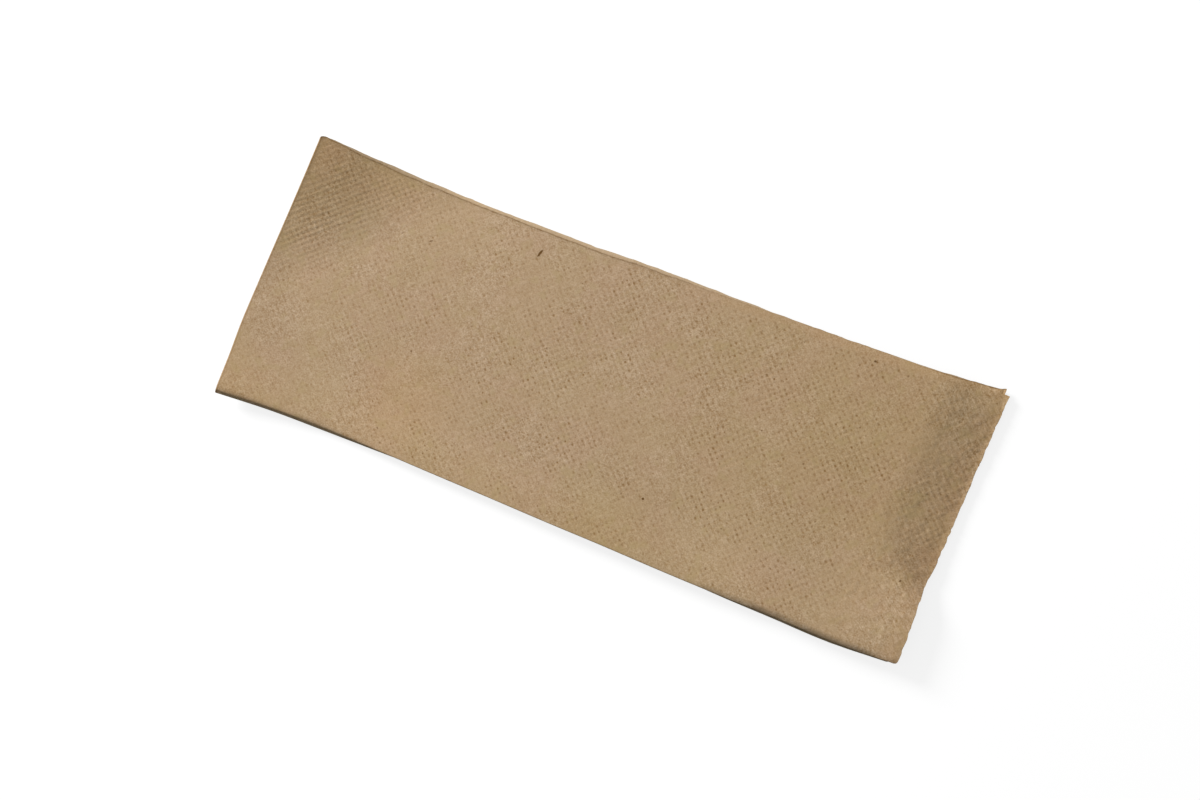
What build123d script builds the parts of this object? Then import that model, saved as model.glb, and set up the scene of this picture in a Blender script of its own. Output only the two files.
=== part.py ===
# A brown paper napkin, quarter-folded: one sheet folded in half lengthwise, then in half across.
# Millimetres. X runs along the folded napkin from the cross fold to the cut end, Y across it from
# the lengthwise fold to the open edges, and Z up from the table that the napkin lies on.
import os
from math import cos, radians, sin

from build123d import *

# The folded napkin, over everything
folded_length = 165.0
folded_width = 63.0

# The sheet: one ply, with its embossing
sheet_thickness = 0.15

# The folds: air left between layers, and how far the upper half springs open
crease_gap = 0.20
middle_gap = 0.20
spring_angle = 0.6

# The open edges: the outer layers are slit narrower than the inner ones,
# and the lower half is cut shorter than the upper one
edge_step = 0.8
end_step = 0.8

half_turn = 180.0

# Distances from the axis of the cross fold: the inner layer lies nearest to it
inner_near = middle_gap / 2
inner_far = inner_near + sheet_thickness
outer_near = inner_far + crease_gap
outer_far = outer_near + sheet_thickness

# The lengthwise fold: a half ring that joins the two layers
fold_inside = crease_gap / 2
fold_outside = fold_inside + sheet_thickness
fold_middle = (inner_far + outer_near) / 2
fold_y = -folded_width / 2 + fold_outside

# The open long edges
inner_edge = folded_width / 2
outer_edge = inner_edge - edge_step

# The axis of the cross fold, high enough for the lowest layer to lie on the table
axis_x = -folded_length / 2 + outer_far
axis_z = outer_far
axis_point = Vector(axis_x, 0, axis_z)
fold_axis = Axis(axis_point, (0, -1, 0))

# The upper half rises at the spring angle, and the lower half lies flat
spring = radians(spring_angle)
upper_direction = Vector(cos(spring), 0, sin(spring))
lower_direction = Vector(1, 0, 0)
upper_length = (folded_length / 2 - axis_x + inner_near * sin(spring)) / cos(spring)
lower_length = folded_length / 2 - axis_x - end_step


# The sheet's section across its length: two layers joined at the lengthwise fold,
# drawn with the axis of the cross fold as its base line
def folded_section():
    fold_tip = (fold_y - fold_outside, fold_middle)
    fold_hollow = (fold_y - fold_inside, fold_middle)
    outline = [
        Line((outer_edge, outer_far), (fold_y, outer_far)),
        ThreePointArc((fold_y, outer_far), fold_tip, (fold_y, inner_near)),
        Line((fold_y, inner_near), (inner_edge, inner_near)),
        Line((inner_edge, inner_near), (inner_edge, inner_far)),
        Line((inner_edge, inner_far), (fold_y, inner_far)),
        ThreePointArc((fold_y, inner_far), fold_hollow, (fold_y, outer_near)),
        Line((fold_y, outer_near), (outer_edge, outer_near)),
        Line((outer_edge, outer_near), (outer_edge, outer_far)),
    ]
    return make_face(outline)


# The upper half, from the cross fold to the cut end
def upper_half(section):
    return extrude(section, amount=upper_length, dir=upper_direction)


# The cross fold, which turns the section under
def cross_fold(section):
    return revolve(section, axis=fold_axis, revolution_arc=half_turn - spring_angle)


# The lower half, flat on the table
def lower_half(section):
    return extrude(section, amount=lower_length, dir=lower_direction)


# The whole sheet as one solid
def folded_napkin():
    upper_plane = Plane(axis_point, x_dir=(0, 1, 0), z_dir=upper_direction)
    lower_plane = Plane(axis_point, x_dir=(0, 1, 0), z_dir=-lower_direction)
    section = folded_section()
    upper_section = upper_plane * section
    lower_section = lower_plane * section
    return upper_half(upper_section) + cross_fold(upper_section) + lower_half(lower_section)


os.makedirs("parts", exist_ok=True)
napkin = folded_napkin()
napkin.label = "napkin"
export_step(napkin, "parts/napkin.step")

box = napkin.bounding_box()
print("napkin", len(napkin.solids()), "solid, volume", round(napkin.volume, 2), "box", box.min, box.max)
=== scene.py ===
import math

import bpy
import numpy as np
from mathutils import Matrix, Vector


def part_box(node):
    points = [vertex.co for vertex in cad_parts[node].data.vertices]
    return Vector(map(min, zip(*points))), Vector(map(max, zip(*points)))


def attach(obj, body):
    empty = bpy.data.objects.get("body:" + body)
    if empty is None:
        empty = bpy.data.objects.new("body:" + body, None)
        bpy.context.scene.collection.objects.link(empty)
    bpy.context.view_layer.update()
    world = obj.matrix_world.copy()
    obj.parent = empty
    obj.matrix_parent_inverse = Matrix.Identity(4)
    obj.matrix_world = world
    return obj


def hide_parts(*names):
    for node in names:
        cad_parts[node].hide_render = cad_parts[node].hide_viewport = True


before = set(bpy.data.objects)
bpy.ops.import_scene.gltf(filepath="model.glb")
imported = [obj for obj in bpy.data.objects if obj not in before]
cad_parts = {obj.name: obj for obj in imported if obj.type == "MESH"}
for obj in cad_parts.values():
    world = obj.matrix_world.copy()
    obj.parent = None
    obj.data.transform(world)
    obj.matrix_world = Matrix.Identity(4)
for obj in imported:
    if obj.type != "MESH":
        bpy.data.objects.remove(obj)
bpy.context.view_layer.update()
mm = 0.001

# The napkin is one sheet, folded lengthwise and then across. Sizes are in millimetres.
# A point of the sheet is (along, across), measured flat from the middle of both folds:
# along > 0 is the upper half, across > 0 the outer layer of each half.
sheet = {
    "ply": 0.15,            # thickness of the paper
    "creaseGap": 0.20,      # air inside the lengthwise fold
    "middleGap": 0.20,      # air between the two halves at the cross fold
    "springAngle": 0.6,     # degrees that the upper half stands open
    "edgeStep": 0.8,        # outer layers are slit narrower than inner ones
    "endStep": 0.8,         # lower half is cut shorter than the upper one
    "foldStretch": 0.7,     # the cross fold is creased, narrower than it is high
    "fineAlong": 396,       # grid cells on the top layer
    "fineAcross": 148,
    "dotCells": 4,          # that many to a dot
    "insideEvery": (6, 4),  # grid lines that the inner face of the ply keeps
    "insideClose": 8,       # besides all those nearest to a fold or an edge
    "coarseCell": 3.4,      # grid on the layers that don't show their dots
    "coarseSpread": 1.25,   # which widens away from the fold
    "foldCells": (12, 10),  # round the cross fold and the lengthwise fold
    "besideFold": (0.3, 0.7, 1.2, 2.2),     # lines of the coarse grid next to a fold
}

# How the folded sheet lies: heights in millimetres, places as shares of the folded size
lie = {
    "cornerLift": 8.0,      # the corner between the cross fold and the open edges curls up
    "cornerReach": 40.0,    # along the cross fold
    "cornerLean": 1.06,     # and so much less along the open edge
    "cornerBow": 1.10,      # the line where the curl starts bows away from the corner
    "cornerEase": 0.66,     # share of the whole rise that is reached at the corner
    "heelLift": 3.0,        # the other corner on the cross fold
    "heelReach": 30.0,
    "heelLean": 0.7,
    "heelEase": 0.70,
    "foldLift": 0.60,       # the lengthwise fold stands off the table
    "foldReach": 14.0,
    # bulges of the upper half near the cut end: height, shares of the length and of the width
    # from the lengthwise fold, reach
    "swells": ((0.6, 1.00, 0.12, 32.0), (0.4, 1.02, 0.22, 14.0)),
    "droopSlope": 0.15,     # the cut end sinks, except near the lengthwise fold
    "droopReach": 17.0,
    "droopTurn": 8.0,       # the bend into that slope
    "droopLevel": 0.9,      # it lies level again just before its edge
    "droopFrom": 0.185,     # share of the width where the sinking starts, at the end
    "droopWide": 0.12,
    "droopSlant": (0.0045, 0.009),  # both grow with each millimetre away from the end
    "ripple": 0.35,         # slow waves of the whole sheet
    "rippleCell": 34.0,
    "rippleSquash": 1.3,    # shorter across than along
    "rippleFine": (0.5, 2),         # smaller waves: share, how many times finer
    "rippleShares": (0.5, 0.33),    # resting height and swing
    "gape": 0.32,           # the top layer stands off the next one at the open edge
    "gapeLow": 0.10,        # and the third layer off the lowest
    "gapeFrom": 0.55,       # share of the width where the gap starts
    "gapeFull": 0.20,       # share of the length where it has its full height
    "gapeWaver": (0.7, 0.5),        # mean and swing
    "waverCell": 26.0,
    "waverSquash": 0.3,
    # along the long edges, from the cross fold to the cut end, at even steps:
    # share of the gap, bend beside the lengthwise fold of all layers and of the upper half alone,
    # curl of the top layer's open edge
    "gapeShares": (0.2, 0.7, 1.0, 1.0, 1.0, 1.0, 0.8, 0.5, 0.3, 0.2, 0.2, 0.3, 0.3),
    "stackDrop": (0.40, 0.36, 0.34, 0.10, 0, 0, 0, 0, 0, 0, 0, 0, 0),
    "upperDrop": (0, 0, 0, 0, 0, 0, 0, 0.04, 0.10, 0.38, 0.66, 0.62, 0.50),
    "dropWide": (1.2, 0.9, 0.9, 0.8, 0.8, 0.8, 0.8, 0.8, 0.9, 1.1, 1.5, 1.2, 1.3),
    "dropUneven": (0.35, 4.0),      # swing and cell
    "lip": (0.08, 0.09, 0.12, 0.13, 0.12, 0.12, 0.10, 0.05, 0, 0, -0.06, -0.16, -0.22),
    "lipWide": (1.0, 0.6, 0.6, 0.6, 0.6, 0.6, 0.6, 0.7, 0.8, 0.8, 0.9, 1.1, 1.1),
}

# Where the edges leave the straight outline, in millimetres outwards, at even steps.
# Open edges and lengthwise folds run from the cross fold to the cut end,
# the cross fold and the ends from the lengthwise fold to the open edges.
edges = {
    "openLayers": (
        (0.25, -0.80, -1.22, -1.35, -1.3, -1.28, -0.65, -0.35, 0.1, 0.5, 0.85, 1.48, 3.25),
        (-0.7, -0.98, -1.2, -1.36, -1.26, -1.18, -0.66, -0.56, -0.55, -0.3, 0.0, 0.8, 2.0),
        (-1.2, -1.5, -1.6, -1.7, -1.6, -1.5, -0.9, -0.52, -0.5, -0.2, 0.4, 0.9, 2.25),
        (-0.3, -1.0, -1.4, -1.6, -1.5, -1.4, -0.8, -0.5, -0.45, -0.2, 0.3, 0.9, 2.1),
    ),
    "foldHalves": (
        (0.22, -0.73, -1.08, -1.06, -0.93, -0.84, -0.69, -0.65, -0.48, -0.45, -0.65, -0.62, -1.30),
        (0.84, -0.14, -0.5, -0.86, -1.3, -1.4, -1.4, -1.3, -0.9, -0.28, -0.18, -0.06, -1.0),
    ),
    "crossFold": (-1.3, -0.88, -0.3, -0.13, -0.24, -0.64, -1.25, -1.90, -2.50),
    "endHalves": (
        (-0.2, -0.34, -0.66, -0.12, 0.15, 0.40, 0.60, 0.92, 1.25),
        (-0.8, -1.0, -0.6, 0.0, 0.6),
    ),
    "endInner": 0.25,       # the upper half's inner layer stays back behind the top one
    "notch": (1.20, 1.2),   # torn corner of the upper half, along and across
    "notchStep": 0.02,      # half the width of its step in the grid
    "notchLines": (0.1, 0.25),      # more grid lines between it and the edge
    "heelRound": 1.0,       # rounding of the corner between lengthwise fold and cut end
    "tipRound": 1.3,        # rounding of the corner between cross fold and open edges
    "ragged": 0.13,         # torn teeth of the cut end
    "raggedPitch": 0.9,
    "raggedFine": (0.8, 2),         # smaller teeth: share, how many times finer
    "raggedDepth": 1.2,
    "frayed": 0.10,         # and of the open edges
    "frayedPitch": 2.4,
    "frayedFine": (0.6, 3),
    "halfApart": 40,        # keeps the two halves' teeth unlike
    "layerApart": 60,       # and the layers'
}

# Embossed dots: a square lattice that stands on its corners
dots = {
    "depth": 0.055,         # dimple below the paper's plane
    "deepest": 0.07,        # as far as the ply lets a dimple go
    "ridge": 0.045,         # swelling between dimples
    "ridgeEven": 0.4,       # share of it that is the same for all dots
    "furrow": 0.022,        # rows on one diagonal run together
    "furrowRun": (0.6, 0.6),        # mean and swing
    "furrowSquash": (1.1, 0.3),     # across and along the rows
    "corner": (0.90, 0.006),        # deeper dots where the corner curls, and more of the other diagonal
    "cornerSteep": 2.2,
    "tipCalm": (0.40, 15.0),        # but not at its very tip: share, reach
    # strongest rows beside the cross fold: shares of length and width, reach, steepness, height
    "rows": (0.03, 0.31, 16.8, 1.2, 0.030),
    "end": (0.20, 2.4),     # deeper dots and furrows towards the cut end
    "endFrom": (0.86, 14.0),        # share of the length where that starts, run
    "crumple": (1.0, 0.050),        # and creases that run across them: size, height
    "crumpleFine": (0.6, 2),
    "crumpleFade": 2.0,     # creases end where the dots are ironed out
    # where dots are flattened: share, reach, steepness
    "endWear": (0.08, 26.0, 1.5),   # towards the cut end
    "heelCalm": (0.52, 33.8, 1.3),  # on the corner between the two folds
    "ironed": (0.65, 26.0, 1.6),    # on the corner between the cut end
    "ironedAcross": (18.0, 2.0),    # and the lengthwise fold
    "bite": (0.74, 1.06),   # the roller bit harder from the cross fold to the middle
    "biteFrom": (0.05, 0.50),       # share of the length where that starts, run
    "patchCell": 8.0,       # places where the roller pressed harder or softer
    "patchFine": (0.7, 3),
    "patchGain": 0.42,
    "patchRange": (0.25, 1.35),
    "uneven": (0.35, 1.65),         # from dot to dot
    "wander": 0.09,         # dots off their lattice, as a share of its cell
    "wanderCell": 4.5,
    "foldFade": 1.2,        # dots are ironed out beside a fold
    "slitPlain": 0.6,       # and beside a slit edge
    "slitFade": (1.0, 2.2, 4.5),    # fading further in towards the torn corner
    "slitFadeFrom": (0.50, 0.15),   # share of the length where the second width starts, run
    "slitFadeEnd": (26.0, 1.5),     # reach and steepness of the third
    "fuzz": 0.010,          # lint and fibre ends
    "fuzzFade": 3.0,
}

low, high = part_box("napkin")
foldedLength = (high.x - low.x) / mm
foldedWidth = (high.y - low.y) / mm
ply = sheet["ply"]
spring = math.radians(sheet["springAngle"])
creaseRadius = (sheet["creaseGap"] + ply) / 2       # middle of the ply round the lengthwise fold
crossRadius = sheet["middleGap"] / 2 + ply + sheet["creaseGap"] / 2
outerRadius = crossRadius + creaseRadius + ply / 2
creaseHalf = creaseRadius * math.pi / 2             # half of each fold's length in the flat sheet
crossHalf = crossRadius * (math.pi - spring) / 2
creaseY = -foldedWidth / 2 + creaseRadius + ply / 2
axisX = -foldedLength / 2 + outerRadius * sheet["foldStretch"]
axisZ = outerRadius
innerLeg = foldedWidth / 2 - creaseY
outerLeg = innerLeg - sheet["edgeStep"]
upperLeg = (foldedLength / 2 - axisX) / math.cos(spring)
lowerLeg = foldedLength / 2 - axisX - sheet["endStep"]
dotAlong = sheet["dotCells"] * upperLeg / sheet["fineAlong"]
dotAcross = sheet["dotCells"] * outerLeg / sheet["fineAcross"]
sheetLength = upperLeg + lowerLeg + 2 * crossHalf
sheetWidth = innerLeg + outerLeg + 2 * creaseHalf
print("napkin: flat sheet %.1f x %.1f mm, dots %.2f x %.2f mm apart" %
      (sheetLength, sheetWidth, dotAlong, dotAcross))

noiseSide = 512     # random values on each side of a noise field
noiseMiddle = 200   # cell of the field that lies at the sheet's middle


def ease(t):
    t = np.clip(t, 0, 1)
    return t * t * (3 - 2 * t)


def near(distance, reach, steep=1.0):  # 0 from that reach on, rising towards the place itself
    return ease((1 - distance / reach) * steep)


def curveThrough(values, share):  # smooth line through evenly spaced values
    values = np.asarray(values, float)
    ends = (2 * values[0] - values[1], 2 * values[-1] - values[-2])
    padded = np.concatenate([ends[:1], values, ends[1:]])
    spot = np.clip(share, 0, 1) * (len(values) - 1)
    i = np.minimum(spot.astype(int), len(values) - 2)
    t = spot - i
    before, start, stop, after = (padded[i + k] for k in range(4))
    bend = 2 * before - 5 * start + 4 * stop - after
    twist = 3 * start - before - 3 * stop + after
    return 0.5 * (2 * start + (stop - before) * t + bend * t ** 2 + twist * t ** 3)


def softNoise(x, y, cell, seed):  # smooth random field between -1 and 1
    values = np.random.default_rng(seed).uniform(-1, 1, (noiseSide, noiseSide))
    u = x / cell + noiseMiddle
    v = y / cell + noiseMiddle
    i = np.floor(u).astype(int)
    j = np.floor(v).astype(int)
    fu = ease(u - i)
    fv = ease(v - j)
    i %= noiseSide
    j %= noiseSide
    i1 = (i + 1) % noiseSide
    j1 = (j + 1) % noiseSide
    lower = values[i, j] * (1 - fu) + values[i1, j] * fu
    upper = values[i, j1] * (1 - fu) + values[i1, j1] * fu
    return lower * (1 - fv) + upper * fv


def doubleNoise(x, y, cell, seed, fine):  # the same with a finer field on it
    share, times = fine
    return softNoise(x, y, cell, seed) + share * softNoise(x, y, cell / times, seed + 1)


def roundOff(distance, radius):  # how far a rounded corner stands back at that distance from it
    inside = np.clip(radius - distance, 0, radius)
    return radius - np.sqrt(radius ** 2 - inside ** 2)


def sharesOf(x, y):  # from the cross fold, and from the lengthwise fold
    return (x + foldedLength / 2) / foldedLength, (y + foldedWidth / 2) / foldedWidth


def bendDown(x, y, drops):  # towards the lengthwise fold
    xShare, yShare = sharesOf(x, y)
    swing, cell = lie["dropUneven"]
    uneven = 1 + swing * softNoise(x, x * 0, cell, 7)
    close = 1 - yShare * foldedWidth / curveThrough(lie["dropWide"], xShare)
    return np.maximum(curveThrough(drops, xShare), 0) * uneven * np.clip(close, 0, 1) ** 2


def liftAll(x, y):  # the whole stack off the table
    fromCross = x + foldedLength / 2
    fromFold = y + foldedWidth / 2
    fromOpen = np.maximum(foldedWidth / 2 - y, 0)
    leaning = np.maximum(fromCross, 0) * lie["cornerLean"]
    bow = lie["cornerBow"]
    fromCorner = (fromOpen ** bow + leaning ** bow) ** (1 / bow)
    corner = lie["cornerLift"] * near(fromCorner, lie["cornerReach"], lie["cornerEase"])
    fromHeel = fromFold * lie["heelLean"] + fromCross
    heel = lie["heelLift"] * near(fromHeel, lie["heelReach"], lie["heelEase"])
    fold = lie["foldLift"] * near(fromFold, lie["foldReach"])
    share, times = lie["rippleFine"]
    wave = softNoise(x, y * lie["rippleSquash"], lie["rippleCell"], 5)
    wave = wave + share * softNoise(x, y, lie["rippleCell"] / times, 6)
    middle, swing = lie["rippleShares"]
    ripple = lie["ripple"] * np.maximum(middle + swing * wave, 0)
    return corner + heel + fold + ripple - bendDown(x, y, lie["stackDrop"])


def sink(x, y):  # the upper half comes down at the cut end
    fromEnd = np.maximum(foldedLength / 2 - x, 0)
    into = np.maximum(lie["droopReach"] - np.maximum(fromEnd, lie["droopLevel"]), 0)
    turn = lie["droopTurn"]
    bend = np.minimum(into / turn, 1)
    down = turn * (bend ** 3 - bend ** 4 / 2) + np.maximum(into - turn, 0)      # sum of a slope that eases in
    later, wider = lie["droopSlant"]
    start = lie["droopFrom"] + later * fromEnd
    across = ease((sharesOf(x, y)[1] - start) / (lie["droopWide"] + wider * fromEnd))
    return lie["droopSlope"] * down * across


def swell(x, y):  # the upper half bulges
    total = 0
    for height, lengthShare, widthShare, reach in lie["swells"]:
        away = np.hypot(x + foldedLength * (0.5 - lengthShare), y + foldedWidth * (0.5 - widthShare))
        total = total + height * near(away, reach)
    return total


def layerLift(x, y, layer, fromOpen):  # how far a layer stands off the stack
    xShare, yShare = sharesOf(x, y)
    start = lie["gapeFrom"]
    gape = np.where(layer == 0, lie["gape"], 0) + np.where(layer == 2, lie["gapeLow"], 0)
    gape = gape * ease((yShare - start) / (1 - start)) * ease(xShare / lie["gapeFull"])
    middle, swing = lie["gapeWaver"]
    waver = middle + swing * softNoise(x, y * lie["waverSquash"], lie["waverCell"], 9)
    gape = gape * curveThrough(lie["gapeShares"], xShare) * waver
    lip = np.clip(1 - fromOpen / curveThrough(lie["lipWide"], xShare), 0, 1) ** 2
    lip = np.where(layer == 0, lip * curveThrough(lie["lip"], xShare), 0)
    half = swell(x, y) - sink(x, y) - bendDown(x, y, lie["upperDrop"])
    return gape + lip + np.where(layer < 2, half, 0)


def toOutline(x, y, layer, fromOpen, fromEnd):  # from the straight outline to the real one
    xShare, yShare = sharesOf(x, y)
    upper = layer < 2
    openOut = np.choose(layer, [curveThrough(v, xShare) for v in edges["openLayers"]])
    foldOut = np.where(upper, *[curveThrough(v, xShare) for v in edges["foldHalves"]])
    endOut = np.where(upper, *[curveThrough(v, yShare) for v in edges["endHalves"]])
    endOut = endOut - np.where(layer == 1, edges["endInner"], 0)
    crossOut = curveThrough(edges["crossFold"], yShare)
    tip = roundOff(x + foldedLength / 2, edges["tipRound"])
    heel = roundOff(y + foldedWidth / 2, edges["heelRound"])
    place = y + np.where(upper, 0, edges["halfApart"])
    teeth = doubleNoise(place, y * 0, edges["raggedPitch"], 11, edges["raggedFine"])
    teeth = edges["ragged"] * teeth * near(fromEnd, edges["raggedDepth"])
    place = x + edges["layerApart"] * layer
    fray = doubleNoise(place, x * 0, edges["frayedPitch"], 13, edges["frayedFine"])
    fray = edges["frayed"] * fray * near(fromOpen, edges["raggedDepth"]) * upper
    back, deep = edges["notch"]
    notch = back * (fromOpen < deep) * near(fromEnd, 2 * back) * upper
    newX = x + xShare * (endOut - heel) - (1 - xShare) * crossOut + teeth - notch
    newY = y + yShare * (openOut - tip) - (1 - yShare) * foldOut + fray
    return newX, newY


def foldedPlace(along, across, side):  # side is +1 for the outer face of the ply, -1 for the inner
    upper = along > 0
    outer = across > 0
    leg = np.maximum(np.abs(along) - crossHalf, 0)
    wing = np.maximum(np.abs(across) - creaseHalf, 0)
    turn = np.clip(across / creaseHalf, -1, 1) * math.pi / 2
    ring = creaseRadius + side * ply / 2
    radius = crossRadius + ring * np.sin(turn)
    swing = spring + (math.pi - spring) * (1 - np.clip(along / crossHalf, -1, 1)) / 2
    x = axisX - radius * np.sin(swing) * sheet["foldStretch"] + leg * np.where(upper, math.cos(spring), 1)
    y = creaseY - ring * np.cos(turn) + wing
    z = axisZ + radius * np.cos(swing) + leg * np.where(upper, math.sin(spring), 0)
    layer = np.where(upper, np.where(outer, 0, 1), np.where(outer, 3, 2))   # counted from the top
    fromOpen = np.where(outer, outerLeg, innerLeg) - wing
    fromEnd = np.where(upper, upperLeg, lowerLeg) - leg
    z = z + liftAll(x, y) + layerLift(x, y, layer, fromOpen)
    return *toOutline(x, y, layer, fromOpen, fromEnd), z


def dotPlace(along, across):  # rows and columns of the dots, which wander a little off their lattice
    stray = dots["wander"]
    a = (along - crossHalf) / dotAlong + stray * softNoise(along, across, dots["wanderCell"], 24)
    b = (across - creaseHalf) / dotAcross + stray * softNoise(along, across, dots["wanderCell"], 25)
    return a + b, a - b


def dotPress(along, across):  # how hard the embossing roller bit, place by place
    patch = doubleNoise(along, across, dots["patchCell"], 21, dots["patchFine"])
    lowest, highest = dots["patchRange"]
    press = lowest + (highest - lowest) * np.clip(0.5 + dots["patchGain"] * patch, 0, 1)
    lengthShare = np.abs(along) / upperLeg
    light, hard = dots["bite"]
    start, run = dots["biteFrom"]
    press = press * (light + (hard - light) * ease((lengthShare - start) / run))

    # flattened places
    fromEnd = crossHalf + upperLeg - along
    share, reach, steep = dots["ironed"]
    ironed = share * near(fromEnd, reach, steep) * near(across - creaseHalf, *dots["ironedAcross"])
    share, reach, steep = dots["endWear"]
    worn = share * near(fromEnd, reach, steep)
    share, reach, steep = dots["heelCalm"]
    calm = share * near(np.abs(along) + np.abs(across) * lie["heelLean"], reach, steep)
    press = press * (1 - ironed) * (1 - worn) * (1 - calm)

    # plain margins
    fromFold = np.minimum(np.abs(along) - crossHalf, np.abs(across) - creaseHalf)
    fromSlit = creaseHalf + np.where(across > 0, outerLeg, innerLeg) - np.abs(across)
    narrow, middle, wide = dots["slitFade"]
    start, run = dots["slitFadeFrom"]
    slitFade = narrow + (middle - narrow) * ease((along / upperLeg - start) / run)
    slitFade = slitFade + (wide - middle) * near(fromEnd, *dots["slitFadeEnd"])
    return press * ease(fromFold / dots["foldFade"]) * ease((fromSlit - dots["slitPlain"]) / slitFade)


def dotRelief(along, across, press):  # height of the embossed paper
    row, column = dotPlace(along, across)
    rowWave = np.cos(2 * math.pi * row)
    columnWave = np.cos(2 * math.pi * column)
    wave = (rowWave + columnWave) / 2
    values = np.random.default_rng(23).uniform(*dots["uneven"], (noiseSide, noiseSide))
    single = values[np.round(row).astype(int) % noiseSide, np.round(column).astype(int) % noiseSide]

    # where the dots are deeper
    fromCorner = (along - crossHalf) + (creaseHalf + outerLeg - across)
    calm, reach = dots["tipCalm"]
    curled = near(fromCorner, lie["cornerReach"], dots["cornerSteep"]) * (1 - calm * near(fromCorner, reach))
    start, run = dots["endFrom"]
    toEnd = ease((along - crossHalf - upperLeg * start) / run)
    deeper, crossed = dots["corner"]
    deeperEnd, furrowEnd = dots["end"]
    gain = 1 + deeper * curled + deeperEnd * toEnd

    # dimples and ridges
    even = dots["ridgeEven"]
    ridge = dots["ridge"] * (even + (1 - even) * single)
    relief = -np.where(wave > 0, dots["depth"] * single, ridge) * wave * press * gain

    # furrows on both diagonals
    mean, swing = dots["furrowRun"]
    squash, stretch = dots["furrowSquash"]
    furrow = dots["furrow"] * (mean + swing * softNoise(row * squash, column * stretch, 1.0, 26))
    relief = relief - rowWave * press * furrow * (1 + furrowEnd * toEnd)
    lengthShare, widthShare, reach, steep, height = dots["rows"]
    fromRows = np.hypot(along - crossHalf - lengthShare * upperLeg,
                        across - creaseHalf - (1 - widthShare) * outerLeg)
    relief = relief - columnWave * press * (crossed * curled + height * near(fromRows, reach, steep))

    # creases and lint
    cell, height = dots["crumple"]
    creases = doubleNoise(along, across, cell, 27, dots["crumpleFine"])
    relief = relief + height * creases * toEnd * np.minimum(press * dots["crumpleFade"], 1)
    fuzz = np.random.default_rng(31).normal(0, dots["fuzz"], along.shape)
    return np.maximum(relief + fuzz * np.minimum(press * dots["fuzzFade"], 1), -dots["deepest"])


def legLines(length):  # grid lines on a coarse leg, closer beside the fold
    first = np.array(sheet["besideFold"])
    left = length - first[-1]
    count = round(left / sheet["coarseCell"])
    spread = np.linspace(0, 1, count + 1) ** sheet["coarseSpread"]
    return np.concatenate([first[:-1], first[-1] + left * spread])


def sheetLines(coarseLeg, fineLeg, foldHalf, foldCells, fineCells, every, nearEdge=()):
    coarse = -foldHalf - legLines(coarseLeg)[::-1]
    bend = np.linspace(-foldHalf, foldHalf, foldCells + 1)
    fine = foldHalf + np.linspace(0, fineLeg, fineCells + 1)[1:]
    fine = np.sort(np.concatenate([fine, foldHalf + fineLeg - np.array(nearEdge)]))
    lines = np.concatenate([coarse, bend, fine])
    first = len(coarse) + len(bend) - 1
    close = np.arange(sheet["insideClose"])
    kept = [np.arange(first), np.arange(first, len(lines), every), first + close, len(lines) - 1 - close]
    return lines, np.unique(np.concatenate(kept))


def gridFaces(rows, columns, start):
    corner = start + np.arange(rows - 1)[:, None] * columns + np.arange(columns - 1)
    quads = np.stack([corner, corner + columns, corner + columns + 1, corner + 1], -1)
    return quads.reshape(-1, 4)


def rimFaces(outside, inside, steps, backwards):  # closes the cut edge between the two faces of the ply
    faces = []
    for k in range(len(inside) - 1):
        span = outside[steps[k]:steps[k + 1] + 1]
        middle = len(span) // 2
        for n in range(len(span) - 1):
            faces.append((span[n], span[n + 1], inside[k] if n < middle else inside[k + 1]))
        faces.append((span[middle], inside[k + 1], inside[k]))
    return [f[::-1] for f in faces] if backwards else faces


notchDeep = edges["notch"][1]
notchLines = (notchDeep - edges["notchStep"], notchDeep + edges["notchStep"], *edges["notchLines"])
alongLines, alongKept = sheetLines(lowerLeg, upperLeg, crossHalf, sheet["foldCells"][0],
                                   sheet["fineAlong"], sheet["insideEvery"][0])
acrossLines, acrossKept = sheetLines(innerLeg, outerLeg, creaseHalf, sheet["foldCells"][1],
                                     sheet["fineAcross"], sheet["insideEvery"][1], notchLines)
outAlong, outAcross = np.meshgrid(alongLines, acrossLines, indexing="ij")
inAlong, inAcross = np.meshgrid(alongLines[alongKept], acrossLines[acrossKept], indexing="ij")
outPress = dotPress(outAlong, outAcross)
inPress = dotPress(inAlong, inAcross)
onTop = (outAlong >= crossHalf) & (outAcross >= creaseHalf)
outX, outY, outZ = foldedPlace(outAlong, outAcross, 1)
outZ = outZ + np.where(onTop, dotRelief(outAlong, outAcross, outPress), 0)
inX, inY, inZ = foldedPlace(inAlong, inAcross, -1)
lowest = min(outZ.min(), inZ.min())
outZ = outZ - lowest
inZ = inZ - lowest
outCount = outAlong.size
vertices = np.concatenate([
    np.stack([outX.ravel(), outY.ravel(), outZ.ravel()], -1),
    np.stack([inX.ravel(), inY.ravel(), inZ.ravel()], -1),
]) * mm

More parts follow.
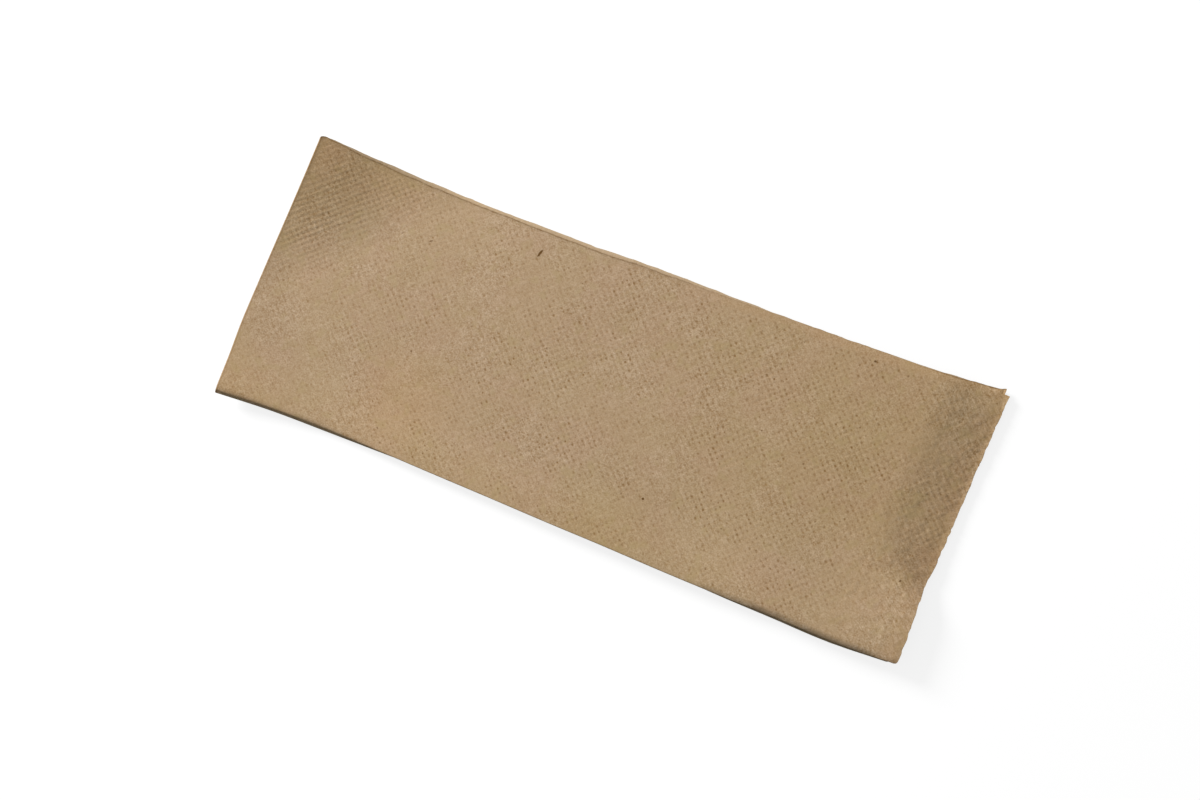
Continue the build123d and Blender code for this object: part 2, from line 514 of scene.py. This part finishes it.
rows, columns = outAlong.shape
inRows, inColumns = inAlong.shape
outIndex = np.arange(outCount).reshape(rows, columns)
inIndex = outCount + np.arange(inAlong.size).reshape(inRows, inColumns)
outFaces = gridFaces(rows, columns, 0)
inFaces = gridFaces(inRows, inColumns, outCount)[:, ::-1]
rims = (
    rimFaces(outIndex[:, -1], inIndex[:, -1], alongKept, False)
    + rimFaces(outIndex[:, 0], inIndex[:, 0], alongKept, True)
    + rimFaces(outIndex[-1], inIndex[-1], acrossKept, True)
    + rimFaces(outIndex[0], inIndex[0], acrossKept, False)
)
rims = [tuple(int(v) for v in face) for face in rims]
faces = outFaces.tolist() + inFaces.tolist() + rims
sideCount = len(outFaces) + len(inFaces)
napkinMesh = bpy.data.meshes.new("foldedNapkin")
napkinMesh.from_pydata(vertices.tolist(), [], faces)
napkinMesh.polygons.foreach_set("use_smooth", [True] * sideCount + [False] * len(rims))

# Places on the flat sheet, for the paper, and a layout that gives the top the most room, for baking
bakeRooms = {  # left, bottom, width, height of each layer's outer face, then its inner face
    (1, 1): ((0.01, 0.625, 0.98, 0.365), (0.01, 0.01, 0.32, 0.11)),
    (0, 1): ((0.01, 0.25, 0.98, 0.365), (0.34, 0.01, 0.32, 0.11)),
    (1, 0): ((0.01, 0.13, 0.32, 0.11), (0.67, 0.01, 0.32, 0.11)),
    (0, 0): ((0.34, 0.13, 0.32, 0.11), (0.67, 0.13, 0.32, 0.11)),
}
bakeRim = 0.002     # height of the strip for the cut edges
flatAlong = np.concatenate([outAlong.ravel(), inAlong.ravel()])
flatAcross = np.concatenate([outAcross.ravel(), inAcross.ravel()])
loopVertex = np.zeros(len(napkinMesh.loops), int)
napkinMesh.loops.foreach_get("vertex_index", loopVertex)
spotAlong = flatAlong[loopVertex]
spotAcross = flatAcross[loopVertex]
sheetMap = napkinMesh.uv_layers.new(name="sheet")
sheetMap.data.foreach_set("uv", (np.stack([spotAlong, spotAcross], -1) / sheetLength).ravel())

loopCount = np.array([4] * sideCount + [3] * len(rims))
faceNumber = np.arange(len(faces))
faceOfLoop = np.repeat(faceNumber, loopCount)
upperLoop = (np.bincount(faceOfLoop, spotAlong) > 0)[faceOfLoop]
outerLoop = (np.bincount(faceOfLoop, spotAcross) > 0)[faceOfLoop]
insideLoop = (faceNumber >= len(outFaces))[faceOfLoop]
rimLoop = (faceNumber >= sideCount)[faceOfLoop]
alongShare = np.where(upperLoop, spotAlong / (crossHalf + upperLeg), 1 + spotAlong / (crossHalf + lowerLeg))
acrossShare = np.where(outerLoop, spotAcross / (creaseHalf + outerLeg),
                       1 + spotAcross / (creaseHalf + innerLeg))
bakePlace = np.zeros((len(loopVertex), 2))
for (isUpper, isOuter), rooms in bakeRooms.items():
    for isInside, (left, bottom, width, height) in enumerate(rooms):
        mine = (upperLoop == bool(isUpper)) & (outerLoop == bool(isOuter)) & (insideLoop == bool(isInside))
        share = 1 - alongShare[mine] if isInside else alongShare[mine]
        bakePlace[mine] = np.stack([left + width * share, bottom + height * acrossShare[mine]], -1)
bakePlace[rimLoop & (loopVertex < outCount)] += (0.0, bakeRim)
bakeMap = napkinMesh.uv_layers.new(name="OFBake")
bakeMap.data.foreach_set("uv", bakePlace.ravel())

# What the paper's material needs to know about the dots
pressed = napkinMesh.attributes.new("press", "FLOAT", "POINT")
pressed.data.foreach_set("value", np.concatenate([outPress.ravel(), inPress.ravel()]))
flatDots = napkinMesh.attributes.new("flatDots", "FLOAT", "POINT")
notModelled = np.concatenate([~onTop.ravel(), np.ones(inAlong.size, bool)])
flatDots.data.foreach_set("value", notModelled.astype(float))
latticeRow, latticeColumn = dotPlace(flatAlong, flatAcross)
lattice = napkinMesh.attributes.new("lattice", "FLOAT_VECTOR", "POINT")
lattice.data.foreach_set("vector", np.stack([latticeRow, latticeColumn, latticeRow * 0], -1).ravel())
napkinMesh.validate()

# Crisp cut edges
edgeEnds = np.zeros(len(napkinMesh.edges) * 2, int)
napkinMesh.edges.foreach_get("vertices", edgeEnds)
onBorder = np.concatenate([np.pad(np.zeros((r - 2, c - 2), bool), 1, constant_values=True).ravel()
                           for r, c in ((rows, columns), (inRows, inColumns))])
napkinMesh.edges.foreach_set("use_edge_sharp", onBorder[edgeEnds.reshape(-1, 2)].all(1))
napkinPiece = bpy.data.objects.new("folded_napkin", napkinMesh)
bpy.context.scene.collection.objects.link(napkinPiece)
print("napkin: %d triangles, %.2f mm high" % (2 * sideCount + len(rims), vertices[:, 2].max() / mm))


class Wire:  # a node's output, for maths on values
    def __init__(self, board, socket):
        self.board = board
        self.socket = socket

    def beside(self, out):  # another output of the same node
        return Wire(self.board, self.socket.node.outputs[out])

    def __add__(self, other):
        return self.board.value("ADD", self, other)

    def __radd__(self, other):
        return self.board.value("ADD", other, self)

    def __sub__(self, other):
        return self.board.value("SUBTRACT", self, other)

    def __rsub__(self, other):
        return self.board.value("SUBTRACT", other, self)

    def __mul__(self, other):
        return self.board.value("MULTIPLY", self, other)

    def __rmul__(self, other):
        return self.board.value("MULTIPLY", other, self)

    def __truediv__(self, other):
        return self.board.value("DIVIDE", self, other)

    def __pow__(self, other):
        return self.board.value("POWER", self, other)


class Board:  # the nodes of one material or of the world
    def __init__(self, owner):
        owner.use_nodes = True
        self.tree = owner.node_tree
        self.tree.nodes.clear()

    def node(self, kind, settings=None, sockets=None, out=0):
        made = self.tree.nodes.new(kind)
        for name, value in (settings or {}).items():
            setattr(made, name, value)
        for name, value in (sockets or {}).items():
            if isinstance(value, Wire):
                self.tree.links.new(value.socket, made.inputs[name])
            else:
                made.inputs[name].default_value = value
        return Wire(self, made.outputs[out]) if made.outputs else None

    def value(self, operation, first, second=0.0):
        return self.node("ShaderNodeMath", {"operation": operation}, {0: first, 1: second})

    def clamp(self, value):
        return self.node("ShaderNodeClamp", {}, {0: value})

    def fade(self, value, start, end):  # 1 before start, 0 after end
        return self.node("ShaderNodeMapRange", {"interpolation_type": "SMOOTHSTEP"},
                         {"Value": value, "From Min": start, "From Max": end, "To Min": 1.0, "To Max": 0.0})

    def vector(self, operation, first, second=(0, 0, 0), out=0):
        return self.node("ShaderNodeVectorMath", {"operation": operation}, {0: first, 1: second}, out)

    def length(self, place):
        return self.vector("LENGTH", place, out="Value")

    def scaled(self, place, times):
        return self.node("ShaderNodeVectorMath", {"operation": "SCALE"}, {0: place, "Scale": times})

    def turned(self, place, degrees):
        return self.node("ShaderNodeVectorRotate", {"rotation_type": "Z_AXIS"},
                         {"Vector": place, "Angle": math.radians(degrees)})

    def noise(self, place, size, detail, roughness, shift):
        moved = self.vector("ADD", place, (shift, shift * 0.7, shift))
        return self.node("ShaderNodeTexNoise", {}, {"Vector": moved, "Scale": 1 / size, "Detail": detail,
                                                    "Roughness": roughness})

    def mix(self, factor, first, second, blend="MIX"):
        return self.node("ShaderNodeMix", {"data_type": "RGBA", "blend_type": blend},
                         {0: factor, 6: first, 7: second}, out=2)

    def attribute(self, name, out):
        return self.node("ShaderNodeAttribute", {"attribute_name": name}, {}, out)

    def seen(self):  # by the camera, also in a reflection or through glass
        camera = self.node("ShaderNodeLightPath", {}, {}, out="Is Camera Ray")
        return self.clamp(camera + camera.beside("Is Glossy Ray") + camera.beside("Is Transmission Ray"))


# Unbleached paper. Sizes are in millimetres on the flat sheet, colours are linear.
paper = {
    "pale": (0.566, 0.431, 0.299, 1),
    "deep": (0.262, 0.148, 0.054, 1),
    # noises in the pulp: share of the tone, size, detail, roughness, shift
    "cloud": (0.11, 14.0, 3.0, 0.55, 3.1),
    "mottle": (0.33, 2.4, 2.0, 0.6, 17.7),
    "grain": (0.64, 0.85, 2.0, 0.6, 41.3),
    "lint": (1.12, 0.34, 1.0, 0.5, 88.8),
    "run": (0.45, 2.6, 0.38, 54.0),     # streaks along the rows: width, length, tone, shift
    "furrow": 0.088,                    # darker rows on one diagonal
    "endRun": (1.3, 0.35),              # stronger streaks and weaker dots near the cut end
    "endRunFrom": (4.0, 22.0),
    # patches of other colours: share, range of the noise, its size, detail, roughness, shift
    "pink": (0.430, 0.284, 0.179, 1),
    "blush": (0.30, (0.58, 0.42), (12.0, 2.0, 0.5, 63.0)),
    "straw": (0.398, 0.288, 0.151, 1),
    "stain": (0.25, (0.57, 0.43), (14.0, 3.0, 0.55, 29.0)),
    "fleck": (0.40, (0.70, 0.58), (3.2, 1.0, 0.5, 12.0)),
    "shadeTint": (1.000, 0.980, 0.860, 1),   # painted shade: a yellower tint towards the cut end and on the curled corner
    "shadeTintFrom": (0.42, 0.96),           # shares of the length
    "shadeTintAcross": (0.45, 0.85),         # share of the width that it takes to its full strength, strength
    "curledFrom": 14.0,
    "shadeTintFold": (2.0, 12.0, 0.4),       # also along the lengthwise fold: start, end, strength
    "shadeTintHeel": (4.0, 24.0, 0.4),       # and on the corner between the two folds
    # slow spots of painted light and painted shade, some of them also shifting the hue: shares of length and
    # width, reach, colour
    "spots": (
        (0.25, 0.78, 17.0, (1.030, 0.985, 0.930, 1)),
        (0.74, 0.87, 19.0, (1.070, 1.075, 1.075, 1)),
        (0.14, 0.56, 40.0, (0.945, 0.945, 0.945, 1)),
        (0.13, 0.03, 14.0, (1.100, 1.095, 1.085, 1)),
        (0.01, 0.03, 10.0, (1.040, 0.995, 0.980, 1)),
        (0.58, 0.98, 20.0, (0.975, 0.985, 0.900, 1)),
        (0.94, 0.83, 14.0, (1.055, 1.055, 1.050, 1)),
        (0.99, 0.66, 7.0, (0.930, 0.900, 0.895, 1)),
    ),
    "spotCore": 2.0,
    "crease": (0.72, 0.68, 0.62, 1),    # painted shade on the cross fold
    "creaseSoft": 0.4,
    "worn": (1.020, 0.990, 0.980, 1),   # the last few millimetres before the cut end
    "wornReach": (1.0, 6.0),
    "margin": (1.035, 1.010, 0.985, 1),     # warm along the second half of the open edge
    "marginWide": (1.0, 2.8),
    "marginFrom": (0.50, 0.65),
    "tornCornerLight": (1.17, 1.16, 1.15, 1),    # painted light: a paler margin at the torn corner
    "tornCornerLightAlong": (3.0, 14.0),
    "tornCornerLightAcross": (1.5, 7.5),
    "foldShadow": (0.58, 0.63, 0.70, 1),     # painted shadow, grey, on the lengthwise fold
    "foldShadowWide": (0.7, 1.5),            # on the lower half, and on the upper half near the cut end
    "foldShadowTurn": 2.0,                   # it ends that far before the cross fold
    "foldShadowUpper": 0.55,                 # strength on the upper half
    "foldShadowFrom": (0.70, 0.80),
    "foldShadowTo": (0.94, 0.99),
    "dimple": (0.195, 0.098, 0.022, 1),
    "dimpleShare": 0.67,
    "dimpleSize": (0.20, 0.38),         # smallest and largest, in lattice cells
    "dimpleShape": (1.15, 0.85, 0),
    "dimpleEdge": (0.25, 1.1),
    "dimpleStray": 0.30,
    "dimpleHit": 1.1,                   # above 1, fewer dots are hit hard
    "dimpleCurled": 0.05,               # how much of their tone the dots lose on the curled corner
    # slit edges: start, end, share
    "frayed": (0.63, 1.08, 0.62),       # painted light on the inner layers' slit edges, with paler fibre ends
    "slit": (0.132, 0.352, 0.84),       # painted shade, a dark line along the outer layers' slit edges
    "slitUneven": (0.5, 2.0),           # scale and detail
    "slitFirst": (0.45, 0.60, 0.8),     # strength up to the middle
    "slitTorn": (0.86, 0.92, 1.2),      # and at the torn corner
    "slitLeast": 0.2,
    "fibre": (0.600, 0.450, 0.290, 1),
    "fibreSize": (1.9, 0.13, 1),
    "fibreTurns": (14, 71, 122, 163),
    "fibreBend": (0.7, 1.0),            # scale and detail
    "fibreNoise": (1.0, 0.0, 0.4),
    "fibreShift": (5.0, 9.0),
    "fibreRange": (0.70, 0.80),
    "fibreShare": 0.25,
    "speck": (0.128, 0.062, 0.016, 1),
    "speckCell": 4.6,
    "speckRarity": 0.84,
    "speckRadius": (0.05, 0.20),        # least, and more by chance
    "speckEdge": (0.45, 1.0),
    "speckShare": 0.55,
    "barkEdge": (0.55, 1.1),
    "barkRagged": 0.8,
    "roughness": (0.86, 0.96),
    "specular": 0.2,
    "grainHeight": 0.022,
    "mottleHeight": 0.035,
    "fibreHeight": 0.010,
    "dotHeight": 0.070,
}

# Bark that shows on the top layer: shares of the folded length and width from the corner between
# cross fold and open edges, half length and half width in millimetres, degrees, strength
barkMarks = (
    (0.3431, 0.0842, 1.20, 0.34, 77, 1.00), (0.1968, 0.1929, 0.52, 0.24, 38, 0.60),
    (0.1548, 0.2056, 0.34, 0.22, 53, 0.45), (0.2377, 0.6088, 0.27, 0.27, 0, 0.70),
    (0.2309, 0.9253, 0.36, 0.22, 145, 0.52), (0.4084, 0.4071, 0.25, 0.25, 0, 0.50),
    (0.6109, 0.7906, 0.38, 0.36, 0, 1.00), (0.5804, 0.8035, 0.25, 0.25, 0, 0.54),
    (0.7202, 0.4087, 0.27, 0.27, 0, 0.68), (0.7887, 0.4664, 0.27, 0.27, 0, 0.65),
    (0.8371, 0.2772, 0.25, 0.25, 0, 0.56), (0.8193, 0.0400, 0.30, 0.30, 0, 0.92),
    (0.8671, 0.0502, 0.25, 0.25, 0, 0.50), (0.9669, 0.7323, 0.29, 0.29, 0, 0.80),
    (0.9623, 0.6640, 0.36, 0.22, 148, 0.50),
)


def topPlace(lengthShare, widthShare):  # flat place of a point on the top layer
    return (crossHalf + lengthShare * upperLeg, creaseHalf + (1 - widthShare) * outerLeg, 0)


class PaperBoard(Board):  # the paper's nodes, with what its finishes share
    def __init__(self, owner):
        super().__init__(owner)
        self.place = self.scaled(self.node("ShaderNodeUVMap", {"uv_map": "sheet"}), sheetLength)
        self.along = self.node("ShaderNodeSeparateXYZ", {}, {0: self.place})
        self.across = self.along.beside(1)
        self.fromEnd = (crossHalf + upperLeg) - self.along
        self.fromSlit = (creaseHalf + outerLeg) - self.across
        self.curled = self.fade(self.along + self.fromSlit, paper["curledFrom"], lie["cornerReach"])
        self.nearEnd = self.fade(self.fromEnd, *paper["endRunFrom"])
        self.press = self.attribute("press", "Fac")
        self.lattice = self.attribute("lattice", "Vector")
        row = self.node("ShaderNodeSeparateXYZ", {}, {0: self.lattice})
        self.rowWave = self.value("COSINE", row * (2 * math.pi))
        self.columnWave = self.value("COSINE", row.beside(1) * (2 * math.pi))
        self.mottle = self.pulpNoise("mottle")
        self.grain = self.pulpNoise("grain")

    def pulpNoise(self, name):
        return self.noise(self.place, *paper[name][1:])

    def patches(self, name):
        share, span, noise = paper[name]
        return self.fade(self.noise(self.place, *noise), *span) * share

    def after(self, start, full):  # shares of the length
        return 1 - self.fade(self.along, upperLeg * start, upperLeg * full)

    def pulp(self):  # colour from large clouds to lint
        tone = 0.5
        noises = {"cloud": self.pulpNoise("cloud"), "mottle": self.mottle,
                  "grain": self.grain, "lint": self.pulpNoise("lint")}
        for name, noise in noises.items():
            tone = (noise - 0.5) * paper[name][0] + tone
        width, length, share, shift = paper["run"]
        drawn = self.vector("MULTIPLY", self.lattice, (dotAlong / width, dotAlong / length, 0))
        run = self.noise(drawn, 1.0, 1.0, 0.5, shift)
        tone = tone + (run - 0.5) * (self.nearEnd * paper["endRun"][0] + 1) * share
        tone = tone - self.rowWave * run * self.press * paper["furrow"]
        colour = self.mix(self.clamp(tone), paper["deep"], paper["pale"])
        colour = self.mix(self.patches("blush"), colour, paper["pink"])
        return self.mix(self.patches("stain") + self.patches("fleck"), colour, paper["straw"])

    def tinted(self, colour):  # slow tints, most of them painted light and painted shade
        # painted shade: a yellower tint towards the cut end, on the curled corner, along the lengthwise fold
        # and on the heel
        wide, strong = paper["shadeTintAcross"]
        shadeTint = self.after(*paper["shadeTintFrom"]) * (1 - self.fade(self.across, 0, outerLeg * wide)) * strong
        start, end, share = paper["shadeTintFold"]
        shadeTint = shadeTint + self.curled + self.fade(self.across, start, end) * share
        start, end, share = paper["shadeTintHeel"]
        shadeTint = shadeTint + self.fade(self.along + self.across * lie["heelLean"], start, end) * share
        tints = [(self.clamp(shadeTint), paper["shadeTint"])]
        # spots of painted light and painted shade
        for lengthShare, widthShare, reach, tint in paper["spots"]:
            away = self.vector("DISTANCE", self.place, topPlace(lengthShare, widthShare), out="Value")
            tints.append((self.fade(away, paper["spotCore"], reach), tint))
        # painted shade on the cross fold
        fromCrease = self.value("ABSOLUTE", self.along)
        tints.append((self.fade(fromCrease, crossHalf, crossHalf + paper["creaseSoft"]), paper["crease"]))
        tints.append((self.fade(self.fromEnd, *paper["wornReach"]), paper["worn"]))
        margin = self.fade(self.fromSlit, *paper["marginWide"]) * self.after(*paper["marginFrom"])
        tints.append((margin, paper["margin"]))
        # painted light at the torn corner
        tornCornerLight = self.fade(self.fromEnd, *paper["tornCornerLightAlong"])
        tornCornerLight = tornCornerLight * self.fade(self.fromSlit, *paper["tornCornerLightAcross"])
        tints.append((tornCornerLight, paper["tornCornerLight"]))
        tints.append((self.foldShadow(), paper["foldShadow"]))
        for mask, tint in tints:
            colour = self.mix(mask, colour, tint, "MULTIPLY")
        return colour

    def foldShadow(self):  # painted shadow on the lengthwise fold
        fromFold = self.value("ABSOLUTE", self.across)
        lowWide, highWide = paper["foldShadowWide"]
        onLower = self.fade(fromFold, creaseHalf, creaseHalf + lowWide)
        onLower = onLower * self.fade(self.along, -paper["foldShadowTurn"], 0.0)
        onUpper = self.fade(fromFold + self.mottle - 0.5, creaseHalf, creaseHalf + highWide)
        onUpper = onUpper * paper["foldShadowUpper"] * self.after(*paper["foldShadowFrom"])
        start, end = paper["foldShadowTo"]
        return onLower + onUpper * self.fade(self.along, upperLeg * start, upperLeg * end)

    def dotted(self, colour):  # darker dots, partly pressed paper and partly painted shade in the dimples, each dot as hard as it was hit
        nearest = self.vector("FLOOR", self.vector("ADD", self.lattice, (0.5, 0.5, 0)))
        dice = self.node("ShaderNodeTexWhiteNoise", {"noise_dimensions": "2D"}, {"Vector": nearest})
        throws = dice.beside("Color")
        stray = self.scaled(self.vector("SUBTRACT", throws, (0.5, 0.5, 0.5)), paper["dimpleStray"])
        away = self.vector("ADD", self.vector("SUBTRACT", self.lattice, nearest), stray)
        away = self.length(self.vector("MULTIPLY", away, paper["dimpleShape"]))
        smallest, largest = paper["dimpleSize"]
        size = self.node("ShaderNodeSeparateColor", {}, {0: throws}, out=2) * (largest - smallest) + smallest
        hit = dice ** paper["dimpleHit"] * self.press
        hit = hit * (1 - self.curled * paper["dimpleCurled"]) * (1 - self.nearEnd * paper["endRun"][1])
        dimple = self.fade(away / size, *paper["dimpleEdge"]) * hit * paper["dimpleShare"]
        return self.mix(self.clamp(dimple), colour, paper["dimple"])

    def slitEdges(self, colour):  # painted shade along the outer layers' slit edges, painted light and paler fibre ends along the inner layers'
        # painted light, with paler fibre ends, on the inner layers' slit edges
        start, end, share = paper["frayed"]
        pale = self.fade((creaseHalf + innerLeg) + self.across, start, end) * share
        colour = self.mix(pale, colour, paper["fibre"])
        scale, detail = paper["slitUneven"]
        uneven = self.node("ShaderNodeTexNoise", {"noise_dimensions": "1D"},
                           {"W": self.along, "Scale": scale, "Detail": detail})
        start, end, share = paper["slit"]
        slit = self.fade(self.fromSlit / (uneven + 0.5), start, end) * uneven * share
        start, end, first = paper["slitFirst"]
        strength = self.fade(self.along, upperLeg * start, upperLeg * end) * first + paper["slitLeast"]
        start, end, torn = paper["slitTorn"]
        strength = strength + self.after(start, end) * torn
        return self.mix(self.clamp(slit * strength), colour, paper["dimple"])

    def looseFibres(self):  # lying in several directions
        scale, detail = paper["fibreBend"]
        bent = self.node("ShaderNodeTexNoise", {}, {"Vector": self.place, "Scale": scale, "Detail": detail},
                         out="Color")
        bent = self.vector("ADD", self.place, bent)
        first, step = paper["fibreShift"]
        threads = 0.0
        for n, turn in enumerate(paper["fibreTurns"]):
            drawn = self.vector("DIVIDE", self.turned(bent, turn), paper["fibreSize"])
            streak = self.noise(drawn, *paper["fibreNoise"], first + step * n)
            threads = 1 - self.fade(streak, *paper["fibreRange"]) + threads
        return self.clamp(threads)

    def bark(self):  # scattered specks, and the marks that can be told apart
        cell = paper["speckCell"]
        away = self.node("ShaderNodeTexVoronoi", {"voronoi_dimensions": "2D"},
                         {"Vector": self.place, "Scale": 1 / cell})
        pick = self.node("ShaderNodeSeparateColor", {}, {0: away.beside("Color")})
        least, more = paper["speckRadius"]
        specks = self.fade(away * cell / (pick.beside(1) * more + least), *paper["speckEdge"])
        marks = specks * self.value("GREATER_THAN", pick, paper["speckRarity"]) * paper["speckShare"]
        ragged = (self.grain - 0.5) * paper["barkRagged"]
        for lengthShare, widthShare, halfLength, halfWidth, turn, strength in barkMarks:
            moved = self.vector("SUBTRACT", self.place, topPlace(lengthShare, widthShare))
            shaped = self.vector("DIVIDE", self.turned(moved, -turn), (halfLength, halfWidth, 1))
            mark = self.fade(self.length(shaped) + ragged, *paper["barkEdge"]) * strength
            marks = self.value("MAXIMUM", marks, mark)
        return marks


def makePaper():
    material = bpy.data.materials.new("kraftPaper")
    board = PaperBoard(material)
    colour = board.slitEdges(board.dotted(board.tinted(board.pulp())))
    threads = board.looseFibres()
    colour = board.mix(threads * paper["fibreShare"], colour, paper["fibre"])
    colour = board.mix(board.bark(), colour, paper["speck"])
    dull, duller = paper["roughness"]
    rough = board.mottle * (duller - dull) + dull
    wave = (board.rowWave + board.columnWave) * 0.5
    height = board.grain * paper["grainHeight"] + board.mottle * paper["mottleHeight"]
    height = height + threads * paper["fibreHeight"]
    height = height - wave * board.press * board.attribute("flatDots", "Fac") * paper["dotHeight"]
    bump = board.node("ShaderNodeBump", {}, {"Height": height, "Strength": 1.0, "Distance": mm})
    surface = board.node("ShaderNodeBsdfPrincipled", {}, {
        "Base Color": colour, "Roughness": rough, "Normal": bump, "Specular IOR Level": paper["specular"]})
    board.node("ShaderNodeOutputMaterial", {}, {"Surface": surface})
    return material


napkinMesh.materials.append(makePaper())
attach(napkinPiece, "root")
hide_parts("napkin")
sheetWidth * mm
sheetLength * mm
print("paper: done")

# White table, which keeps the napkin's shadow
table = {
    "size": 6.0,            # metres
    "below": 0.02,          # mm
    "colour": (0.24, 0.24, 0.24, 1),
    "glow": (0.80, 0.80, 0.80, 1),
    "farGlow": (0.96, 0.96, 0.96, 1),   # where the lamp's light thins out
    "farFrom": (0.3, 1.2),
}


def makeTable():
    half = table["size"] / 2
    corners = [(-half, -half, 0), (half, -half, 0), (half, half, 0), (-half, half, 0)]
    mesh = bpy.data.meshes.new("table")
    mesh.from_pydata(corners, [], [(0, 1, 2, 3)])
    top = bpy.data.objects.new("table", mesh)
    top.location.z = -table["below"] * mm
    bpy.context.scene.collection.objects.link(top)
    material = bpy.data.materials.new("whiteTable")
    board = Board(material)
    away = board.length(board.node("ShaderNodeNewGeometry", {}, {}, out="Position"))
    glow = board.mix(board.fade(away, *table["farFrom"]), table["farGlow"], table["glow"])
    glow = board.mix(board.seen(), (0, 0, 0, 1), glow)
    surface = board.node("ShaderNodeBsdfPrincipled", {}, {
        "Base Color": table["colour"], "Roughness": 1.0, "Specular IOR Level": 0.0,
        "Emission Color": glow, "Emission Strength": 1.0})
    board.node("ShaderNodeOutputMaterial", {}, {"Surface": surface})
    mesh.materials.append(material)
    return top


makeTable()
print("table: done")

# Soft light from one side, and the same light all round
studio = {
    "fill": 0.41,
    "key": 0.59,            # share of the light on a level surface
    "keyTowards": (-0.94, 0.34),
    "keyHeight": 24,        # degrees above the table
    "keyAway": 1.0,         # metres
    "keySize": 0.34,
}


def makeLights():
    turn = math.atan2(studio["keyTowards"][1], studio["keyTowards"][0])
    rise = math.radians(studio["keyHeight"])
    towards = Vector((math.cos(turn) * math.cos(rise), math.sin(turn) * math.cos(rise), math.sin(rise)))
    lamp = bpy.data.lights.new("keyLight", "AREA")
    lamp.shape = "DISK"
    lamp.size = studio["keySize"]
    lamp.energy = studio["key"] * (math.pi * studio["keyAway"]) ** 2 / math.sin(rise)
    key = bpy.data.objects.new("keyLight", lamp)
    key.location = towards * studio["keyAway"]
    key.rotation_euler = (-towards).to_track_quat("-Z", "Y").to_euler()
    bpy.context.scene.collection.objects.link(key)
    world = bpy.data.worlds.new("studio")
    bpy.context.scene.world = world
    board = Board(world)
    around = board.node("ShaderNodeBackground", {}, {"Color": (1, 1, 1, 1), "Strength": studio["fill"]})
    behind = board.node("ShaderNodeBackground", {}, {"Color": (1, 1, 1, 1), "Strength": 1.0})
    both = board.node("ShaderNodeMixShader", {}, {0: board.seen(), 1: around, 2: behind})
    board.node("ShaderNodeOutputWorld", {}, {"Surface": both})


makeLights()
print("light: done")

# The camera looks down on the napkin, tilted a little towards its cross fold
view = {
    "lens": 50.0,
    "place": (49.8, -11.7, 368.8),  # mm
    "aim": (0.83, -1.14, 0.0),
    "turn": 22.27,                  # degrees from +Y to the top of the picture
    "sensor": 36.0,
    "clip": (0.01, 20.0),           # metres
}


def makeCamera():
    data = bpy.data.cameras.new("camera")
    data.lens = view["lens"]
    data.sensor_width = view["sensor"]
    data.clip_start, data.clip_end = view["clip"]
    camera = bpy.data.objects.new("camera", data)
    place = Vector(view["place"]) * mm
    back = (place - Vector(view["aim"]) * mm).normalized()
    turn = math.radians(view["turn"])
    top = Vector((-math.sin(turn), math.cos(turn), 0))
    right = top.cross(back).normalized()
    top = back.cross(right)
    camera.matrix_world = Matrix.Translation(place) @ Matrix((right, top, back)).transposed().to_4x4()
    bpy.context.scene.collection.objects.link(camera)
    bpy.context.scene.camera = camera


makeCamera()
bpy.context.scene.view_settings.view_transform = "Standard"
bpy.context.view_layer.update()
print("scene: ready")
